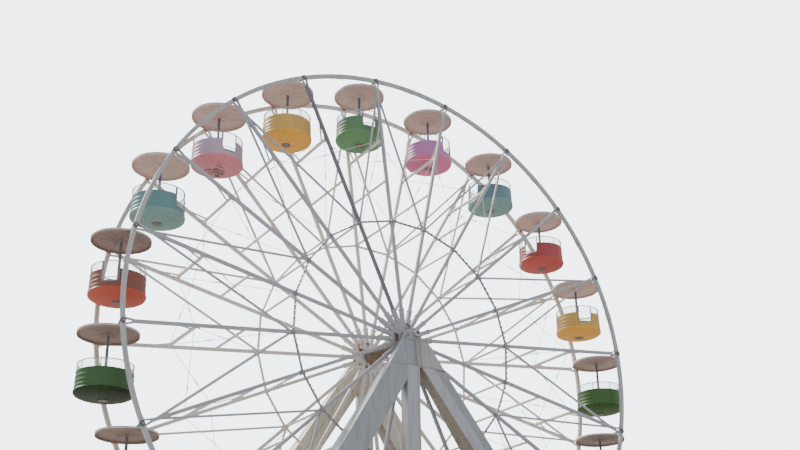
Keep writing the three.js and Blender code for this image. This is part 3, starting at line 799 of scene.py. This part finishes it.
for name, side in (("front", -1), ("rear", 1)):
    for hand_name, hand in (("left", -1), ("right", 1)):
        bm = bmesh.new()
        high, low = HEAD_BOTTOM + 0.002, HUB.z - FOOT_T
        top, high_y, low_y = HUB.z - high, front_y(high), front_y(low)
        (i1, o1), (i0, o0) = leg_ends(high), leg_ends(low)
        plain = hand == side
        band = 1.0 if plain else BAND
        s1, s0 = i1 + band * (o1 - i1), i0 + band * (o0 - i0)
        # On the front tower the near plate takes the light paint and the set-back plate the blue-grey, as
        # painted light and painted shade.
        tapered(bm, side, (i0, s0, TOWER_BACK + 0.003, low_y), FOOT_T - 0.002,
                (i1, s1, TOWER_BACK + 0.003, high_y), top, 0.014, 0 if plain else 1, hand)
        # Painted bounce light: the faces turned towards the other leg take the warm brown.
        bm.normal_update()
        for face in bm.faces:
            if face.normal.x * hand < -0.6:
                face.material_index = 3
        if plain:
            cut = bmesh.ops.bisect_plane(
                bm, geom=bm.verts[:] + bm.edges[:] + bm.faces[:],
                plane_co=(side * (POST_X + POST_W / 2 + 0.0003), 0, 0), plane_no=(-side, 0, 0),
                clear_outer=True)["geom_cut"]
            bmesh.ops.holes_fill(bm, edges=[e for e in cut if isinstance(e, bmesh.types.BMEdge)])
            bmesh.ops.recalc_face_normals(bm, faces=bm.faces)
        else:
            tapered(bm, side, (s0 + CREASE, o0, TOWER_BACK + 0.003, low_y - BAND_BACK), FOOT_T - 0.002,
                    (s1 + CREASE, o1, TOWER_BACK + 0.003, high_y - BAND_BACK), top, 0.014, 0, hand)
            # Painted shade: the strip seen through the crease is painted brown for the shadow in the step.
            deep = BAND_BACK + 0.025
            tapered(bm, side, (s0 - 0.03, s0 + CREASE + 0.03, TOWER_BACK + 0.02, low_y - deep), FOOT_T,
                    (s1 - 0.03, s1 + CREASE + 0.03, TOWER_BACK + 0.02, high_y - deep), top, 0.0, 3, hand)
        joint_in, joint_out = leg_ends(LEG_JOINT)
        collar = (joint_in - 0.07, joint_out + 0.07, TOWER_BACK - 0.05, front_y(LEG_JOINT) + 0.06)
        for depth in (LEG_JOINT - 0.024, LEG_JOINT + 0.004):
            tapered(bm, side, collar, HUB.z - depth - 0.020, collar, HUB.z - depth, 0.003, 0, hand)
        for i in range(7):
            x = hand * (joint_in + (joint_out - joint_in) * i / 6)
            for y in (TOWER_BACK - 0.026, front_y(LEG_JOINT) + 0.032):
                at = Vector((x, side * y, HUB.z - LEG_JOINT))
                rod(bm, at - Vector((0, 0, 0.040)), at + Vector((0, 0, 0.040)), 0.015, 6, paint=2)
        plate = (i0 - LEG_PLATE, o0 + LEG_PLATE, TOWER_BACK - 0.138, low_y + 0.138)
        tapered(bm, side, plate, 0.0, plate, FOOT_T, 0.004, 0, hand)
        for i in range(5):
            x = hand * (i0 - 0.08 + (o0 - i0 + 0.16) * i / 4)
            for y in (TOWER_BACK - 0.075, low_y + 0.075):
                anchor(bm, x, side * y, 0.035, 0.030, 0.075, 0.016)
        for i in range(4):
            x = hand * (i0 + (o0 - i0) * (i + 0.5) / 4)
            gusset(bm, side, x, TOWER_BACK + 0.02, TOWER_BACK - 0.125, 0.22, 0.26, 0.009)
            gusset(bm, side, x, low_y - 0.02, low_y + 0.125, 0.22, 0.26, 0.009)
        paints = [tower_blue, tower_light] if side < 0 else [rear_sunlit_beige, rear_sunlit_beige]
        piece(f"{name}_{hand_name}_box_leg", bm, [*paints, bolt_steel, tower_bounce_and_shade], "towers",
              "tower_paint", f"{name}_{hand_name}_leg")

# Posts: an upright box column under each head, between the legs, with a flat strip welded down both
# of its near corners and a foot plate of its own. Painted lighter than the legs.
POST_FRONT = 1.99
POST_STRIP = 0.062
for name, side in (("front", -1), ("rear", 1)):
    bm = bmesh.new()
    x0, x1 = side * POST_X - POST_W / 2, side * POST_X + POST_W / 2
    back, front, top = TOWER_BACK + 0.006, POST_FRONT - 0.008, HUB.z - HEAD_BOTTOM - 0.002
    box = (x0 + 0.002, x1 - 0.002, back, front)
    tapered(bm, side, box, FOOT_T - 0.002, box, top, 0.012)
    for a, b, paint in ((x0 + 0.0005, x0 + POST_STRIP, 0), (x1 - POST_STRIP, x1 - 0.0005, 1)):
        strip = (a, b, front - 0.05, POST_FRONT)
        tapered(bm, side, strip, FOOT_T, strip, top, 0.004, paint)
    plate = (x0 - 0.118, x1 + 0.118, TOWER_BACK - 0.118, POST_FRONT + 0.118)
    tapered(bm, side, plate, 0.0, plate, FOOT_T, 0.004)
    for x in (x0 - 0.06, side * POST_X, x1 + 0.06):
        for y in (TOWER_BACK - 0.06, POST_FRONT + 0.06):
            anchor(bm, x, side * y, 0.03, 0.026, 0.06, 0.014)
    for x in (x0 + 0.12, x1 - 0.12):
        gusset(bm, side, x, back + 0.02, TOWER_BACK - 0.10, 0.25, 0.20, 0.008)
        gusset(bm, side, x, front - 0.02, POST_FRONT + 0.10, 0.25, 0.20, 0.008)
    paints = [tower_light, tower_beige] if side < 0 else [rear_sunlit_beige, rear_sunlit_beige]
    piece(f"{name}_box_post", bm, [*paints, bolt_steel], "towers", "tower_paint", f"{name}_post")

# Canopies: a cross bar that turns in the two rims, a round sheet-steel roof with a deep turned-down
# edge and folded seams, and the pole that hangs from it, with a round collar under the tub. The roof
# is pinkish tan underneath with a light rim, and the pole is dark blue-grey. Under some cabins the
# roof's underside is painted a darker brown or a duller tan as painted shade.
ROOF_R = 0.905
ROOF_UNDER = -0.072
ROOF_EDGE = -0.140
ROOF_BAND = -0.088
ROOF_INNER_R = 0.8945
ROOF_INNER_TOP = -0.05
ROOF_SEAMS = 12
BAR_R = 0.037
BAR_END = 1.099
POLE_R = 0.044
COLLAR_R = 0.139
COLLAR_TOP = -2.0665
COLLAR_T = 0.0235
COLLAR_BOLTS = 6
COLLAR_BOLT_R = 0.095
# Roof undersides painted darker as painted shade: brown for the cabins in deepest shade, a duller tan for
# the two in less.
SHADED_ROOFS = (1, 2, 3, 13)
HALF_SHADED_ROOFS = (12, 20)

roof_tan = painted("roof tan paint", (0.63, 0.425, 0.365), (0.54, 0.38, 0.33), fade=1.0, grime=0.3,
                   rust=0.10, gloss=0.6)
# Painted shade: darker copies of the roof tan, for undersides that lie in more shade.
roof_shaded_brown = painted("roof brown painted-shade paint", (0.30, 0.195, 0.165), (0.23, 0.145, 0.12), fade=1.0, grime=0.5,
                     rust=0.14, gloss=0.6)
roof_half_shaded = painted("roof half painted-shade paint", (0.40, 0.265, 0.23), (0.34, 0.22, 0.19), fade=1.0, grime=0.4,
                    rust=0.12, gloss=0.6)
roof_light = painted("roof light paint", (0.55, 0.55, 0.56), (0.46, 0.45, 0.45), grime=0.3, rust=0.08)
pole_blue = painted("pole blue-grey paint", (0.11, 0.125, 0.17), (0.14, 0.15, 0.19), rust=0.10, gloss=0.7)
collar_brown = painted("collar brown paint", (0.155, 0.125, 0.105), (0.20, 0.165, 0.14), rust=0.3, gloss=0.7)
bm = bmesh.new()
shell = lathe([
    (0.0, ROOF_UNDER + 0.002), (0.30, ROOF_UNDER + 0.002), (0.305, ROOF_UNDER - 0.001),
    (0.315, ROOF_UNDER - 0.001), (0.32, ROOF_UNDER + 0.002), (0.872, ROOF_UNDER),
    (0.884, ROOF_UNDER - 0.008), (0.886, ROOF_EDGE + 0.010), (0.891, ROOF_EDGE + 0.001),
    (0.898, ROOF_EDGE), (0.904, ROOF_EDGE + 0.006), (ROOF_R, ROOF_EDGE + 0.016), (ROOF_R, ROOF_BAND),
    (ROOF_R, -0.036), (0.901, -0.027), (0.886, -0.023), (0.42, 0.004), (0.06, 0.017), (0.0, 0.018),
], 72)
for face in shell.faces:
    at = face.calc_center_median()
    inside = math.hypot(at.x, at.y) < ROOF_INNER_R and at.z < ROOF_INNER_TOP
    face.material_index = 0 if inside or at.z < ROOF_BAND else 1
join(bm, shell)
for turn in range(ROOF_SEAMS):
    out = Matrix.Rotation((turn + 0.5) * 2 * math.pi / ROOF_SEAMS, 3, "Z") @ Vector((1, 0, 0))
    bar(bm, out * 0.08 + Vector((0, 0, 0.016)), out * 0.89 + Vector((0, 0, -0.022)), 0.012, 0.012, 0.002,
        across=(0, 0, 1), paint=1)
    bar(bm, out * 0.14 + Vector((0, 0, ROOF_UNDER)), out * 0.87 + Vector((0, 0, ROOF_UNDER)), 0.008, 0.007,
        across=(0, 0, 1))
rod(bm, (0, -BAR_END, 0), (0, BAR_END, 0), BAR_R, 16, paint=1)
for way in (-1, 1):
    bar(bm, (0, way * 0.10, ROOF_UNDER), (0, way * 0.87, ROOF_UNDER), 0.055, 0.012, 0.003,
        across=(0, 0, 1))
join(bm, lathe([
    (0.0, ROOF_UNDER), (0.105, ROOF_UNDER), (0.110, ROOF_UNDER - 0.004), (0.110, ROOF_UNDER - 0.010),
    (0.075, ROOF_UNDER - 0.014), (0.055, ROOF_UNDER - 0.040), (0.0, ROOF_UNDER - 0.040),
], 24), 0)
join(bm, lathe([
    (0.0, ROOF_UNDER - 0.030), (POLE_R, ROOF_UNDER - 0.030), (POLE_R, COLLAR_TOP + 0.001),
    (0.0, COLLAR_TOP + 0.001),
], 24), 2)
join(bm, lathe([
    (0.0, COLLAR_TOP), (COLLAR_R - 0.004, COLLAR_TOP), (COLLAR_R, COLLAR_TOP - 0.004),
    (COLLAR_R, COLLAR_TOP - COLLAR_T + 0.006), (COLLAR_R - 0.006, COLLAR_TOP - COLLAR_T),
    (0.0, COLLAR_TOP - COLLAR_T),
], 32), 3)
for turn in range(COLLAR_BOLTS):
    at = Matrix.Rotation(turn * 2 * math.pi / COLLAR_BOLTS, 3, "Z") @ Vector((COLLAR_BOLT_R, 0, 0))
    at.z = COLLAR_TOP - COLLAR_T
    rod(bm, at + Vector((0, 0, 0.004)), at - Vector((0, 0, 0.001)), 0.013, 6, paint=3)
canopy_mesh = finished("canopy", bm)
for k, pivot in enumerate(PIVOTS):
    number = f"{k + 1:02d}"
    mesh = canopy_mesh.copy()
    mesh.transform(Matrix.Translation(pivot))
    # The roofs in painted shade take the darker undersides.
    under = roof_shaded_brown if k + 1 in SHADED_ROOFS else roof_half_shaded if k + 1 in HALF_SHADED_ROOFS else roof_tan
    place(f"roof_and_pole_{number}", mesh, (under, roof_light, pole_blue, collar_brown),
          f"cabin_{number}", "roof_paint", f"canopy_{number}")

# Tubs: a round open cabin that turns on its pole, pressed from sheet steel: a ribbed wall with a
# rolled top, a lip, and a shallow dished bottom. Over the wall stands a railing of thin bars under a
# tube ring, and a grey frame lines the door gap. Satin paint in seven colours, grimy underneath. Each
# colour's wall and bottom tones differ as painted light: bluish shade on the wall, warm ground bounce on
# the bottom. Two green tubs are painted darker as painted shade.
WALL_TOP = -1.292
WALL_LOW = -1.804
WALL_TOP_R = 0.822
WALL_LOW_R = 0.835
WALL_T = 0.016
BOWL_TOP = -1.850
TUB_BORE = 0.049
FLOOR_Z = -1.890
RAIL_R = 0.804
RAIL_TUBE = 0.017
RAIL_Z = -1.037
DOOR_HALF = math.radians(16.9)
DOOR_LOW = -1.678
DOOR_CORNER = 0.12
WALL_STEPS = 96
WALL_RINGS = 40
GATE_RAILS = (-1.56, -1.655)
WIRE_R = 0.0035
WIRE_STEP = math.radians(2.5)
WIRE_RINGS = (-1.10, -1.165, -1.23)
RIBS = (-1.46, -1.60, -1.73)
RIB_OUT = 0.010
RIB_HALF = 0.032
FRAME_OUT = 0.012
FRAME_LENGTH = math.radians(6)
RAIL_POSTS = (67.5, 157.5, 202.5, 292.5)
BENCH_HALF_GAP = math.radians(42)
BOWL_BOLTS = 16
BOWL_BOLT_R = 0.60


def door_half(z):
    """Half the door gap's angle at a height: its lower corners are rounded."""
    rise = z - DOOR_LOW
    if rise <= 0:
        return 0.0
    if rise >= DOOR_CORNER:
        return DOOR_HALF
    drop = DOOR_CORNER - math.sqrt(max(DOOR_CORNER ** 2 - (DOOR_CORNER - rise) ** 2, 0.0))
    return DOOR_HALF - drop / WALL_LOW_R


def wall_r(z):
    """The wall's radius at a height."""
    share = (WALL_TOP - z) / (WALL_TOP - WALL_LOW)
    return WALL_TOP_R - 0.003 + (WALL_LOW_R - WALL_TOP_R) * share ** 2


def round_point(radius, angle, z):
    """A point at a radius, an angle from the door's middle and a height."""
    return Vector((radius * math.cos(angle), radius * math.sin(angle), z))


def ribbed(z):
    """The wall's profile, with three pressed ribs."""
    swell = max(0.0, *(1 - abs(z - rib) / RIB_HALF for rib in RIBS))
    return wall_r(z) + RIB_OUT * min(1.0, swell * 1.5)


def circle(radius, z, tube, sides):
    """The round profile of a bent tube, at a radius and a height."""
    turns = [2 * math.pi * i / sides for i in range(sides)]
    return [(radius + tube * math.cos(a), z + tube * math.sin(a)) for a in turns]


heights = [WALL_TOP + (WALL_LOW - WALL_TOP) * i / WALL_RINGS for i in range(WALL_RINGS + 1)]
wall = lathe([(ribbed(z), z) for z in heights], WALL_STEPS, start=math.pi / WALL_STEPS)
gone = []
for face in wall.faces:
    at = face.calc_center_median()
    if abs(math.atan2(at.y, at.x)) < door_half(at.z):
        gone.append(face)
bmesh.ops.delete(wall, geom=gone, context="FACES")
bmesh.ops.solidify(wall, geom=wall.faces[:], thickness=WALL_T)
bmesh.ops.recalc_face_normals(wall, faces=wall.faces)
bm = bmesh.new()
join(bm, wall, 0)
bowl = lathe([
    (0.812, -1.770), (0.836, -1.796), (0.8385, -1.811), (0.845, -1.823), (0.851, -1.836),
    (0.8565, BOWL_TOP), (0.857, -1.862), (0.8545, -1.886), (0.846, -1.912), (0.828, -1.936),
    (0.790, -1.960), (0.740, -1.980), (0.68, -1.999), (0.60, -2.018), (0.50, -2.035), (0.40, -2.047),
    (0.30, -2.055), (0.20, -2.061), (0.12, -2.0635), (TUB_BORE, -2.064), (TUB_BORE, FLOOR_Z),
    (0.78, FLOOR_Z), (0.802, -1.86), (0.804, -1.770),
], 96, closed=True)
for face in bowl.faces:
    at = face.calc_center_median()
    outside = math.hypot(at.x, at.y) > 0.82 or at.z < FLOOR_Z - 0.01
    face.material_index = 1 if outside and at.z < BOWL_TOP else 0
join(bm, bowl)
door_open = DOOR_HALF + math.radians(0.8)
wall_turn = 2 * math.pi - 2 * door_open
round_wall = {"closed": True, "angle": wall_turn, "start": door_open}
join(bm, lathe(circle(wall_r(WALL_TOP) - 0.006, WALL_TOP, 0.013, 8), 72, **round_wall), 0)
join(bm, lathe(circle(RAIL_R, RAIL_Z, RAIL_TUBE, 10), 72, closed=True), 2)
for z in WIRE_RINGS:
    join(bm, lathe(circle(RAIL_R, z, WIRE_R, 4), 60, **round_wall), 5)
count = int(wall_turn / WIRE_STEP)
for i in range(count + 1):
    a = door_open + i * wall_turn / count
    rod(bm, round_point(RAIL_R, a, WALL_TOP - 0.01), round_point(RAIL_R, a, RAIL_Z), WIRE_R, 4, paint=5)
for degrees in RAIL_POSTS:
    a = math.radians(degrees)
    rod(bm, round_point(RAIL_R, a, WALL_TOP - 0.01), round_point(RAIL_R, a, RAIL_Z), 0.0125, 8, paint=2)
    bar(bm, round_point(RAIL_R - 0.010, a, WALL_TOP - 0.10), round_point(RAIL_R - 0.002, a, WALL_TOP + 0.02),
        0.05, 0.010, 0.002, across=round_point(1, a, 0), paint=2)
frame_line = []
for hand in (1, -1):
    line = [(DOOR_HALF + FRAME_OUT, RAIL_Z), (DOOR_HALF + FRAME_OUT, WALL_TOP)]
    for rise in (0.2, 0.12, 0.075, 0.045, 0.022, 0.007):
        line.append((door_half(DOOR_LOW + rise) + FRAME_OUT, DOOR_LOW + rise))
    line += [(DOOR_HALF - DOOR_CORNER / WALL_LOW_R, DOOR_LOW - 0.006), (0.0, DOOR_LOW - 0.006)]
    line = [(hand * a, z) for a, z in line]
    frame_line += line if hand > 0 else line[::-1]
for (a0, z0), (a1, z1) in zip(frame_line, frame_line[1:]):
    if (a0, z0) == (a1, z1):
        continue
    lengths = max(1, round(abs(a1 - a0) / FRAME_LENGTH))
    for i in range(lengths):
        ends = []
        for share in (i / lengths, (i + 1) / lengths):
            a, z = a0 + (a1 - a0) * share, z0 + (z1 - z0) * share
            radius = RAIL_R + 0.002 if z > WALL_TOP - 0.001 else wall_r(z) - 0.004
            ends.append(round_point(radius, a, z))
        mid = (ends[0] + ends[1]) / 2
        way = (ends[1] - ends[0]).normalized() * 0.006
        bar(bm, ends[0] - way, ends[1] + way, 0.058 if z > WALL_TOP else 0.036, 0.030, 0.005,
            across=(mid.x, mid.y, 0), paint=4)
for z in GATE_RAILS:
    for i in range(6):
        ends = [round_point(wall_r(z) - 0.004, DOOR_HALF * ((i + j) / 3 - 1), z) for j in (0, 1)]
        rod(bm, ends[0], ends[1], 0.013, 8, paint=2)
for i in range(1, 12):
    a = DOOR_HALF * (i / 6 - 1)
    rod(bm, round_point(wall_r(WALL_TOP) - 0.004, a, GATE_RAILS[1]), round_point(RAIL_R, a, RAIL_Z),
        WIRE_R, 4, paint=5)
join(bm, lathe([
    (0.50, FLOOR_Z + 0.002), (0.515, -1.515), (0.49, -1.512), (0.485, -1.490), (0.50, -1.482),
    (0.793, -1.490), (0.793, -1.512), (0.535, -1.52), (0.52, FLOOR_Z + 0.002),
], 48, closed=True, angle=2 * math.pi - 2 * BENCH_HALF_GAP, start=BENCH_HALF_GAP), 3)
join(bm, lathe([
    (TUB_BORE, FLOOR_Z - 0.002), (0.10, FLOOR_Z - 0.002), (0.10, FLOOR_Z + 0.02), (0.075, FLOOR_Z + 0.03),
    (0.070, FLOOR_Z + 0.10), (TUB_BORE, FLOOR_Z + 0.10),
], 24, closed=True), 2)
for turn in range(BOWL_BOLTS):
    a = turn * 2 * math.pi / BOWL_BOLTS
    rod(bm, round_point(BOWL_BOLT_R, a, -2.018), round_point(BOWL_BOLT_R, a, -2.030), 0.010, 6, paint=1)
tub_mesh = finished("tub", bm)
local = tub_mesh.attributes.new("local", "FLOAT_VECTOR", "POINT")
local.data.foreach_set("vector", [c for v in tub_mesh.vertices for c in v.co])

rail_grey = painted("rail grey paint", (0.40, 0.40, 0.43), (0.36, 0.36, 0.38), rust=0.08)
frame_lilac = painted("door frame lilac-grey", (0.20, 0.19, 0.27), (0.27, 0.255, 0.33), rust=0.08,
                      gloss=0.6)
wire_white = painted("wire white paint", (0.80, 0.81, 0.82), (0.70, 0.70, 0.70), rust=0.02)
bench_grey = painted("bench grey", (0.30, 0.29, 0.28), (0.36, 0.35, 0.33), rust=0.02, grime=0.5)


def under_tub(tree):
    """Grime gathers underneath, round the collar."""
    here = node(tree, "ShaderNodeAttribute", attribute_name="local").outputs["Vector"]
    flat = node(tree, "ShaderNodeVectorMath", {0: here, 1: (1, 1, 0)}, operation="MULTIPLY").outputs[0]
    far = node(tree, "ShaderNodeVectorMath", {0: flat}, operation="LENGTH").outputs["Value"]
    return spread(tree, far, 0.15, 0.32, 0.8, 0.0)


def under_pink(tree):
    """The pink tubs have two dark grimy patches more on the bottom."""
    here = node(tree, "ShaderNodeAttribute", attribute_name="local").outputs["Vector"]
    most = under_tub(tree)
    for spot, wide in (((0.37, -0.07, -2.05), 0.20), ((-0.16, 0.06, -2.06), 0.42)):
        off = node(tree, "ShaderNodeVectorMath", {0: here, 1: spot}, operation="DISTANCE")
        patch = spread(tree, off.outputs["Value"], wide * 0.4, wide, 5.0, 0.0)
        most = math_node(tree, "MAXIMUM", most, patch)
    return most


# Wall and bottom tone of each colour: the colour is the tub's own, the difference between the two is painted
# light, bluish shade on the walls and warm bounce from the ground on the bottoms.
TUB_PAINTS = {
    "green": ((0.090, 0.200, 0.085), (0.115, 0.255, 0.115)),
    "teal": ((0.110, 0.215, 0.245), (0.180, 0.295, 0.280)),
    "orange": ((0.200, 0.065, 0.042), (0.430, 0.078, 0.048)),
    "red": ((0.335, 0.055, 0.058), (0.460, 0.080, 0.070)),
    "pink": ((0.440, 0.305, 0.425), (0.570, 0.200, 0.230)),
    "lilac": ((0.480, 0.190, 0.425), (0.620, 0.165, 0.300)),
    "yellow": ((0.540, 0.335, 0.085), (0.730, 0.360, 0.060)),
    # Painted shade: two darker greens for the green tubs that stand in shade.
    "shaded green": ((0.032, 0.090, 0.022), (0.015, 0.030, 0.0075)),
    "half-shaded green": ((0.038, 0.110, 0.020), (0.036, 0.085, 0.014)),
}
tub_paints = {}
for colour, (wall_colour, low_colour) in TUB_PAINTS.items():
    wall_pale, low_pale = (
        tuple(min(1.0, c * 1.12 + 0.006) for c in tone) for tone in (wall_colour, low_colour))
    tub_paints[colour] = (
        painted(f"tub {colour} wall", wall_colour, wall_pale, fade=0.5, grime=0.25, rust=0.03,
                gloss=0.45, coat=0.05, shine=0.35, bump=0.0015),
        painted(f"tub {colour} bottom", low_colour, low_pale, fade=0.5, grime=0.25, rust=0.03,
                gloss=0.60, shine=0.2, bump=0.0015,
                extra_grime=under_pink if colour == "pink" else under_tub),
    )
DOOR_DEG = (
    -145, 40, -125, -51, -85, 75, -94, -66, -178, -157, -111, 55, 27, -124, 150, -35, 95, -60, 172, -20,
)
TUB_ORDER = ("yellow", "green", "orange", "teal", "pink", "yellow", "green", "lilac", "teal", "red") * 2
# These two green tubs take the darker greens as painted shade.
SHADED_TUBS = {2: "shaded green", 12: "half-shaded green"}
for k, pivot in enumerate(PIVOTS):
    number = f"{k + 1:02d}"
    mesh = tub_mesh.copy()
    mesh.transform(Matrix.Translation(pivot) @ Matrix.Rotation(math.radians(DOOR_DEG[k]), 4, "Z"))
    look = SHADED_TUBS.get(k + 1, TUB_ORDER[k])
    place(f"painted_tub_{number}", mesh, (*tub_paints[look], rail_grey, bench_grey, frame_lilac, wire_white),
          f"turning_tub_{number}", f"tub_{TUB_ORDER[k]}", f"tub_{number}")

low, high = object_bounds()
